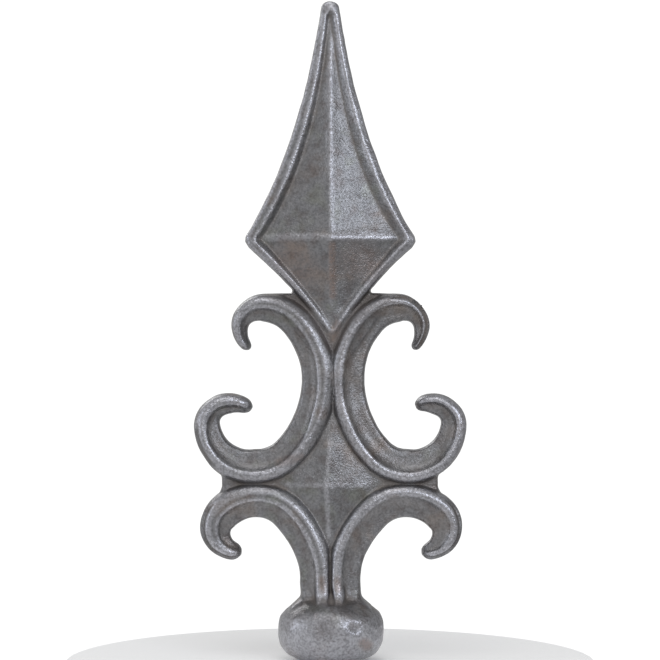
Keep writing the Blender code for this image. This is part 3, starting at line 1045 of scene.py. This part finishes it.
waved = np.clip(waved, box_low, box_high)
skin.data.vertices.foreach_set("co", (waved * MM).ravel())
skin.data.update()
skin.data.shade_smooth()
print("waves run from", round(waves.min(), 2), "to", round(waves.max(), 2), "mm")

# %% [markdown]
# Tumbling and handling rub the ridges bright, while sand and scale stay in the creases. Here the
# lighter ridges also carry a painted highlight, and the darker creases also painted shade. A shader
# can guess where edges are, but numbers stored on the vertices can be smoothed and checked first.
# A vertex that stands above the average of its surroundings is on a ridge, and one below it is in
# a crease. A few ridges on the front were rubbed more, so short lines add wear and painted
# highlight there, and the bulb is made lighter all over in the same way.


# %% Helpers for marks
def add_mark(mesh, name, values):
    """Stores one number for each vertex, for the material to read."""
    mark = mesh.attributes.new(name, "FLOAT", "POINT")
    mark.data.foreach_set("value", values.astype(np.float32))


def height_above_neighbours(rounds, smoothing):
    """How far each vertex stands above its surroundings: high on ridges, below zero in creases."""
    height = ((points - even_out(points, edges, rounds)) * normals).sum(1)
    return even_out(np.repeat(height[:, None], 3, 1), edges, smoothing)[:, 0]


LINE_FADE = 1.4


def near_lines(points, lines):
    """How much each point of the front lies near any of some short lines, each with a reach."""
    x, y, z = points.T
    share = np.zeros(len(points))
    for start, end, reach, strength in lines:
        near = smooth_step(LINE_FADE - line_distance(x, z, start, end) / reach)
        share = np.maximum(share, strength * near * on_front(y))
    return share


print("vertices to mark:", len(points))

# %% Mark ridges and creases
FINE_RIDGES = (4, 1)
BROAD_RIDGES = (24, 2)
WEAR_AND_SHEEN_STARTS = 0.08
WEAR_AND_SHEEN_FULL = 0.36
GRIME_AND_SHADE_FULL = 0.5
RUBBED_AND_SHEEN_FROM = (0.58, 0.14)
# The bulb is made lighter all over below its top: polish and a painted highlight.
BULB_POLISH_AND_SHEEN = 0.75
POLISH_AND_SHEEN_BELOW = (20.0, 5.0)
# Rubbed lines on the head's ridges and the boss add wear and a painted highlight, stronger on the right
# half of the head's cross ridge.
RUBBED_AND_SHEEN_LINES = (
    ((1.5, 160.2), (22.0, 160.3), 1.4, 0.9),
    ((-24.0, 160.0), (0.5, 160.2), 1.4, 0.45),
    ((1.0, 162.0), (0.8, 236.0), 0.8, 0.45),
    ((-1.9, 65.8), (-0.5, 47.0), 0.9, 0.7),
    ((-1.9, 65.8), (-1.0, 84.0), 0.8, 0.5),
    ((-17.0, 66.4), (14.0, 66.4), 0.9, 0.6),
)
# Ridges that stand out get the lighter worn tone: partly wear, partly a painted highlight.
ridge = height_above_neighbours(*FINE_RIDGES) + height_above_neighbours(*BROAD_RIDGES)
standing_out = np.abs(points[:, 1]) / np.maximum(sample(crest_near, points[:, 0], points[:, 2]), 1)
wear = beyond(standing_out, *RUBBED_AND_SHEEN_FROM) * np.clip((ridge - WEAR_AND_SHEEN_STARTS) / (WEAR_AND_SHEEN_FULL - WEAR_AND_SHEEN_STARTS), 0, 1)
wear = np.maximum(wear, near_lines(points, RUBBED_AND_SHEEN_LINES))
wear = np.maximum(wear, BULB_POLISH_AND_SHEEN * short_of(points[:, 2], *POLISH_AND_SHEEN_BELOW))
add_mark(skin.data, "wear", wear)
# Creases get the grime mark: partly sand, partly painted shade where they fall dark.
add_mark(skin.data, "grime", np.clip(-ridge / GRIME_AND_SHADE_FULL, 0, 1))
print("spread of the ridge heights in mm:", ridge.std().round(3))

# %% [markdown]
# Bare iron rusts a little in patches, and dark foundry scale clings where the tumbling stones
# didn't reach: beside the head's foot, in the slit, under the neck and in the bulb's wrinkles. In
# the recesses beside the head's foot, in the slit, under the neck and on the webs at the waist the
# dark spots are partly scale and partly painted shade, and a rust line along the bulb's foot is a
# painted contact shadow. Noise would put such spots anywhere. These are placed one by one, as on
# this casting.

# %% Mark rust and scale, with painted shade and a painted contact shadow
# Each spot is a short line between two places, a reach in millimetres and a strength.
RUST_AND_SHADOW_SPOTS = (
    ((0.6, 157.0), (0.6, 138.0), 1.4, 0.9),
    ((-15.0, 153.0), (-10.0, 147.0), 7.0, 0.4),
    ((9.0, 152.0), (14.0, 150.0), 7.0, 0.45),
    ((2.0, 127.0), (0.0, 122.0), 1.8, 0.6),
    ((-20.0, 75.0), (-12.0, 77.0), 1.8, 0.5),
    ((12.5, 7.6), (13.5, 6.6), 2.2, 0.8),
    # The line along the weld face's edge is a painted contact shadow, not rust.
    ((-6.0, 0.0), (8.0, 0.0), 1.0, 1.0),
    ((-3.0, 27.0), (-3.0, 31.0), 1.4, 0.6),
    ((2.8, 27.5), (2.8, 31.0), 1.4, 0.7),
)
SCALE_AND_SHADE_SPOTS = (
    ((-2.6, 13.6), (-1.2, 14.4), 4.0, 0.36),
    ((-0.3, 9.6), (-0.3, 12.0), 0.45, 0.5),
    ((-2.8, 9.2), (1.2, 8.9), 0.4, 0.4),
    ((-4.8, 13.2), (-4.0, 14.4), 0.9, 0.5),
    ((-1.8, 15.6), (0.2, 15.0), 0.9, 0.5),
    ((-1.8, 13.4), (-0.8, 12.7), 0.8, 0.45),
    ((8.4, 13.7), (9.6, 13.4), 1.2, 0.4),
    ((-11.0, 181.0), (-10.5, 183.0), 2.6, 0.25),
    # The next spots darken the recesses at the neck's foot, in the slit and on the webs: partly scale,
    # partly painted shade.
    ((-9.0, 22.8), (9.0, 22.8), 1.9, 0.5),
    ((0.0, 20.0), (0.0, 43.0), 0.5, 0.7),
    ((8.7, 132.3), (17.5, 139.0), 1.7, 0.9),
    ((-17.5, 139.0), (-8.7, 132.3), 1.7, 0.9),
    ((0.3, 117.0), (8.7, 132.3), 1.3, 0.8),
    ((-8.7, 132.3), (-0.3, 117.0), 1.3, 0.8),
    ((9.5, 130.5), (20.5, 137.6), 3.0, 0.4),
    ((-20.5, 137.6), (-9.5, 130.5), 3.0, 0.4),
    ((24.0, 67.0), (40.0, 67.0), 1.1, 0.35),
    ((-40.0, 67.0), (-24.0, 67.0), 1.1, 0.35),
)
add_mark(skin.data, "rust", near_lines(points, RUST_AND_SHADOW_SPOTS))
add_mark(skin.data, "scale", near_lines(points, SCALE_AND_SHADE_SPOTS))
print("rust and scale places:", len(RUST_AND_SHADOW_SPOTS) + len(SCALE_AND_SHADE_SPOTS))

# %% [markdown]
# The even quads are needed while the skin is carved, but flat faces don't need them afterwards.
# The Decimate modifier merges triangles where that changes the surface least, and it carries the
# marks along. It may push a vertex out by a hair, so the box is kept once more.

# %% Thin out the flat places
KEPT_SHARE = 0.58


def thin_out(skin):
    """Merges triangles where the surface is nearly flat, which keeps the mesh light to load."""
    thinning = skin.modifiers.new("thinning", "DECIMATE")
    thinning.ratio = KEPT_SHARE
    graph = bpy.context.evaluated_depsgraph_get()
    mesh = bpy.data.meshes.new_from_object(skin.evaluated_get(graph))
    skin.modifiers.clear()
    skin.data = mesh
    kept = np.clip(mesh_points(mesh), box_low, box_high)
    mesh.vertices.foreach_set("co", (kept * MM).ravel())
    mesh.update()


thin_out(skin)
print("skin triangles now:", sum(len(face.vertices) - 2 for face in skin.data.polygons))


# %% [markdown]
# The metal is grey cast iron, sand cast and tumbled clean. Such iron is dull and dark, with a
# grain like fine sandpaper, a trace of brown, violet and green from oxides, brighter skin where
# the ridges were rubbed, and dark sand and scale left in the creases. The brighter ridges are
# also a painted highlight, and the dark creases and recesses also painted shade. A photograph
# wrapped round it would stretch on the walls, so the finish is built from nodes that work in space.


# %% Colours
def linear(hex_colour):
    """An sRGB hex value as the linear colour that shaders use."""
    channels = [int(hex_colour[i : i + 2], 16) / 255 for i in (1, 3, 5)]
    toned = [c / 12.92 if c <= 0.04045 else ((c + 0.055) / 1.055) ** 2.4 for c in channels]
    return (*toned, 1.0)


def coloured(stops):
    """Colour stops with their hex values turned linear."""
    return [(place, linear(colour)) for place, colour in stops]


print("the middle grey #808080 in linear light:", round(linear("#808080")[0], 3))


# %% One function for every node
def add_node(tree, kind, settings=None, links=None):
    """Adds a node, sets its properties, inputs or colour stops, and links outputs to its inputs."""
    node = tree.nodes.new(kind)
    for key, value in (settings or {}).items():
        if key == "stops":
            stops = node.color_ramp.elements
            for place, _ in value[1:-1]:
                stops.new(place)
            for stop, (place, colour) in zip(stops, value):
                stop.position = place
                stop.color = colour
        elif isinstance(key, str) and hasattr(node, key):
            setattr(node, key, value)
        else:
            node.inputs[key].default_value = value
    for key, output in (links or {}).items():
        tree.links.new(output, node.inputs[key])
    return node


# A colour mix takes its share at socket 0, the colour below at 6 and the one over it at 7.
SHARE, UNDER, OVER = 0, 6, 7
MIXED = 2
print("a colour mix gives its result at output", MIXED)

# %% The iron and its patterns
# tumbled_cast_iron: tumbling leaves a dull, faintly satin grey, neither black like raw castings
# nor bright like steel. Each pattern has a length in millimetres and a number of finer layers.
# Oxide clouds on such castings are 10 to 15 mm across, and mottling and lumps 2 to 5 mm. Moulding
# sand is 0.2 to 0.3 mm, less than one pixel of the render, which is 0.38 mm. So the sand grain
# and its specks are drawn at 0.62 and 0.9 mm, as coarse as they need to be to show.
PATTERNS = (
    ("cloud", 11, 5.0),
    ("patch", 4.5, 3.0),
    ("grain", 0.9, 2.0),
    ("sand", 0.62, 1.0),
    ("lump", 2.4, 2.0),
)
iron = bpy.data.materials.new("tumbled_cast_iron")
iron.use_nodes = True
tree = iron.node_tree
shader = tree.nodes["Principled BSDF"]
in_space = {"Vector": add_node(tree, "ShaderNodeTexCoord").outputs["Object"]}
pattern = {}
for name, length, layers in PATTERNS:
    settings = {"Scale": 1 / (length * MM), "Detail": layers}
    pattern[name] = add_node(tree, "ShaderNodeTexNoise", settings, in_space).outputs[0]
print("patterns:", list(pattern))

# %% The grey of the iron
# Three layers multiply: the oxides' hues in clouds, dull patches, and fine specks of the grain.
OXIDE_HUES = ((0.3, "#9d9591"), (0.45, "#989799"), (0.58, "#969699"), (0.72, "#969793"))
PATCH_SHADES = ((0.34, "#dfdad8"), (0.5, "#f4f4f4"), (0.66, "#ffffff"))
GRAIN_SHADES = ((0.34, "#d9d9d9"), (0.5, "#f0f0f0"), (0.66, "#ffffff"))
hue = add_node(tree, "ShaderNodeValToRGB", {"stops": coloured(OXIDE_HUES)}, {0: pattern["cloud"]})
grey = hue.outputs[0]
for name, shades in (("patch", PATCH_SHADES), ("grain", GRAIN_SHADES)):
    shade = add_node(tree, "ShaderNodeValToRGB", {"stops": coloured(shades)}, {0: pattern[name]})
    multiply = {"data_type": "RGBA", "blend_type": "MULTIPLY", SHARE: 1.0}
    grey = add_node(tree, "ShaderNodeMix", multiply, {UNDER: grey, OVER: shade.outputs[0]}).outputs[MIXED]
print("the darkest specks keep", round(linear(GRAIN_SHADES[0][1])[0], 2), "of the light")

# %% Where the marks show
# Wear and rust come and go with the grain, so that they look rubbed and spotted, not brushed on.
# The wear also paints a highlight on the ridges, and one rust line a contact shadow.
SPECKLED = {"From Min": 0.34, "From Max": 0.66, "To Min": 0.3, "To Max": 0.9}
DIRT_AND_SHADE_COVER = 0.7
mark = {}
for name in ("wear", "grime", "rust", "scale"):
    mark[name] = add_node(tree, "ShaderNodeAttribute", {"attribute_name": name}).outputs["Fac"]
chance = add_node(tree, "ShaderNodeMapRange", SPECKLED, {"Value": pattern["grain"]}).outputs["Result"]
times = {"operation": "MULTIPLY"}
worn_and_sheen = add_node(tree, "ShaderNodeMath", times, {0: mark["wear"], 1: chance}).outputs[0]
rusted_and_shadowed = add_node(tree, "ShaderNodeMath", times, {0: mark["rust"], 1: chance}).outputs[0]
# The crease darkening is partly sand and partly painted shade.
soiled_and_shaded = add_node(tree, "ShaderNodeMath", {**times, 1: DIRT_AND_SHADE_COVER}, {0: mark["grime"]}).outputs[0]
print("marks read by the iron:", list(mark))

# %% Lay the marks over the grey
# The worn tone is bright wear and a painted highlight; the crease and scale tones are dirt, scale and
# painted shade; the rust tone also paints a contact shadow along the foot.
WORN_IRON_AND_SHEEN = "#c6c6cd"
CREASE_DIRT_AND_SHADE = "#746c66"
RUST_AND_SHADOW_TONE = "#907c72"
SCALE_AND_SHADE_TONE = "#605a58"
colour = grey
for share, tone in (
    (worn_and_sheen, WORN_IRON_AND_SHEEN),
    (soiled_and_shaded, CREASE_DIRT_AND_SHADE),
    (rusted_and_shadowed, RUST_AND_SHADOW_TONE),
    (mark["scale"], SCALE_AND_SHADE_TONE),
):
    laid_on = {"data_type": "RGBA", OVER: linear(tone)}
    colour = add_node(tree, "ShaderNodeMix", laid_on, {SHARE: share, UNDER: colour}).outputs[MIXED]
tree.links.new(colour, shader.inputs["Base Color"])
print("tones over the grey:", WORN_IRON_AND_SHEEN, CREASE_DIRT_AND_SHADE, RUST_AND_SHADOW_TONE, SCALE_AND_SHADE_TONE)

# %% Gloss and metal
# Cast iron starts from metallic 1 and a roughness near 0.5 as cast. Tumbling smooths it to about
# a third, and rubbing more. Sand and scale aren't metal, so the crease and scale marks, which are
# partly painted shade, take the metallic down.
BARE_METALLIC = 0.9
DIRTY_AND_SHADED_METALLIC = 0.35
BARE_ROUGHNESS = 0.33
RUBBED_ROUGHNESS = 0.26
gloss = {"To Min": BARE_ROUGHNESS, "To Max": RUBBED_ROUGHNESS}
rough = add_node(tree, "ShaderNodeMapRange", gloss, {"Value": worn_and_sheen})
tree.links.new(rough.outputs["Result"], shader.inputs["Roughness"])
either = {"operation": "MAXIMUM"}
covered_and_shaded = add_node(tree, "ShaderNodeMath", either, {0: mark["grime"], 1: mark["scale"]})
sheen = {"To Min": BARE_METALLIC, "To Max": DIRTY_AND_SHADED_METALLIC}
metal = add_node(tree, "ShaderNodeMapRange", sheen, {"Value": covered_and_shaded.outputs[0]})
tree.links.new(metal.outputs["Result"], shader.inputs["Metallic"])
print("roughness", BARE_ROUGHNESS, "falls to", RUBBED_ROUGHNESS, "where rubbed")

# %% The cast skin's grain
SAND_HEIGHT = 0.155 * MM
LUMP_HEIGHT = 0.05 * MM
fine = add_node(tree, "ShaderNodeBump", {"Distance": SAND_HEIGHT}, {"Height": pattern["sand"]})
both = {"Height": pattern["lump"], "Normal": fine.outputs[0]}
uneven_skin = add_node(tree, "ShaderNodeBump", {"Distance": LUMP_HEIGHT}, both)
tree.links.new(uneven_skin.outputs[0], shader.inputs["Normal"])
print("nodes in the iron:", len(tree.nodes))

# %% Put the skin in the solid's place
skin.data.materials.clear()
skin.data.materials.append(iron)
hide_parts("spear_finial")
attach(skin, "root")
print("the skin stands for", casting_node.name)

# %% [markdown]
# The photograph shows the finial against pure white. It stands here on a small round pad of matt
# opal acrylic, lit faintly from within. That gives the eye a soft contact shadow and no hard
# horizon, and from other sides a floor to judge the height by.

# %% The light pad
PAD_RADIUS = 100 * MM
PAD_SIDES = 96
PAD_GAP = 0.2 * MM
PAD_GLOW = 0.1
PAD_ROUGHNESS = 0.9
PAD_WHITE = "#ffffff"


def light_pad():
    """A round pad just under the weld face, in matt opal acrylic that glows a little."""
    mesh = bpy.data.meshes.new("light_pad")
    builder = bmesh.new()
    bmesh.ops.create_circle(builder, cap_ends=True, segments=PAD_SIDES, radius=PAD_RADIUS)
    builder.to_mesh(mesh)
    builder.free()
    pad = bpy.data.objects.new("light_pad", mesh)
    bpy.context.scene.collection.objects.link(pad)
    acrylic = bpy.data.materials.new("matt_opal_acrylic")
    acrylic.use_nodes = True
    shader = acrylic.node_tree.nodes["Principled BSDF"]
    shader.inputs["Base Color"].default_value = linear(PAD_WHITE)
    shader.inputs["Roughness"].default_value = PAD_ROUGHNESS
    shader.inputs["Emission Color"].default_value = linear(PAD_WHITE)
    shader.inputs["Emission Strength"].default_value = PAD_GLOW
    mesh.materials.append(acrylic)
    pad.location.z = -PAD_GAP


light_pad()
print("pad of", round(2 * PAD_RADIUS / MM), "mm")

# %% [markdown]
# Metal shows its surroundings more than its own colour, so the light is built as what the iron
# reflects: big soft panels. A cool window-like panel on the right gives the bright upper right
# faces, a weaker one on the left lights the left rims, and others fill in from above, in front
# and behind. Point lights would give small hard sparks instead of these broad soft shines.

# %% Light
# Each panel has a turn to the right of the camera's axis and a lift, both in degrees, a width and
# a height in metres, its brightness as seen by the iron, and its colour.
AIM = Vector((0, 0, HEIGHT / 2 * MM))
LIGHT_DISTANCE = 1.2
DAYLIGHT = (0.93, 0.99, 1.09)
WHITE = (1.0, 1.0, 1.0)
PANELS = (
    ("key_right", 34, 16, 0.7, 0.34, 3.0, DAYLIGHT),
    ("side_left", -72, 8, 0.5, 0.7, 1.0, DAYLIGHT),
    ("fill_right", 68, 5, 0.3, 0.7, 0.5, WHITE),
    ("overhead", -5, 56, 0.8, 0.8, 1.1, WHITE),
    ("front", 0, 9, 0.4, 0.3, 1.15, WHITE),
    ("key_behind", 208, 30, 0.5, 0.5, 1.8, WHITE),
)


def soft_light(name, turn, lift, width, height, radiance, colour):
    """A soft light panel that faces the finial from all of the distance away."""
    light = bpy.data.lights.new(name, "AREA")
    light.shape = "RECTANGLE"
    light.size = width
    light.size_y = height
    light.energy = radiance * math.pi * width * height
    light.color = colour
    turn, lift = math.radians(turn), math.radians(lift)
    way = Vector((math.sin(turn) * math.cos(lift), -math.cos(turn) * math.cos(lift), math.sin(lift)))
    obj = bpy.data.objects.new(name, light)
    obj.location = AIM + way * LIGHT_DISTANCE
    obj.rotation_mode = "QUATERNION"
    obj.rotation_quaternion = (-way).to_track_quat("-Z", "Y")
    bpy.context.scene.collection.objects.link(obj)
    print(name, round(light.energy, 2), "W")


for panel in PANELS:
    soft_light(*panel)

# %% [markdown]
# Between the panels the iron reflects the room. The camera sees white behind the finial, but a
# white room would wash the iron out. So the world shows white to the camera alone, and a grey room
# to everything else, darker towards the right, which is what makes the right coves dark.

# %% The room
# Each pair is a place from left to right and the linear grey there.
ROOM_GREYS = ((0.0, 0.57), (0.35, 0.54), (0.6, 0.48), (0.8, 0.37), (1.0, 0.34))
ROOM_SHADES = [(place, (grey, grey, grey, 1.0)) for place, grey in ROOM_GREYS]
BACKDROP = {"Color": (1, 1, 1, 1), "Strength": 1.1}


def studio_world():
    """White to the camera; a grey room, darker on the right, in what the metal reflects."""
    world = bpy.data.worlds.new("studio")
    world.use_nodes = True
    tree = world.node_tree
    room = tree.nodes["Background"]
    coords = add_node(tree, "ShaderNodeTexCoord").outputs["Generated"]
    sides = add_node(tree, "ShaderNodeSeparateXYZ", links={"Vector": coords})
    both_ways = {"From Min": -1.0, "From Max": 1.0}
    level = add_node(tree, "ShaderNodeMapRange", both_ways, {"Value": sides.outputs["X"]})
    shade = add_node(tree, "ShaderNodeValToRGB", {"stops": ROOM_SHADES}, {0: level.outputs["Result"]})
    tree.links.new(shade.outputs["Color"], room.inputs["Color"])
    backdrop = add_node(tree, "ShaderNodeBackground", BACKDROP)
    seen = add_node(tree, "ShaderNodeLightPath").outputs["Is Camera Ray"]
    shown = {0: seen, 1: room.outputs[0], 2: backdrop.outputs[0]}
    blend = add_node(tree, "ShaderNodeMixShader", links=shown)
    tree.links.new(blend.outputs[0], tree.nodes["World Output"].inputs["Surface"])
    bpy.context.scene.world = world


studio_world()
print("room greys from left to right:", [grey for _, grey in ROOM_GREYS])

# %% [markdown]
# The photograph looks straight at the front, from so far that hardly anything converges. So the
# camera stands level with the middle of the finial behind a long lens, at the distance where one
# pixel of the 660 covers 0.38 mm, as in the photograph.

# %% Camera
FRAME_PIXELS = 660
MM_PER_PIXEL = 0.38
camera = bpy.data.cameras.new("camera")
camera.lens = 135.0
camera.sensor_width = 36.0
camera.clip_start = 0.01
camera_object = bpy.data.objects.new("camera", camera)
bpy.context.scene.collection.objects.link(camera_object)
frame_height = FRAME_PIXELS * MM_PER_PIXEL * MM
distance = frame_height / 2 / math.tan(math.atan(camera.sensor_width / 2 / camera.lens))
camera_object.location = (0.0, -distance, AIM.z)
camera_object.rotation_euler = (math.radians(90), 0.0, 0.0)
bpy.context.scene.camera = camera_object
bpy.context.scene.view_settings.view_transform = "Standard"
print("camera distance in m:", round(distance, 3))

# %% [markdown]
# Last, the view layer is brought up to date. The finial's box before dressing was printed at the
# start, and the skin was clipped to it.

# %% Finish
bpy.context.view_layer.update()
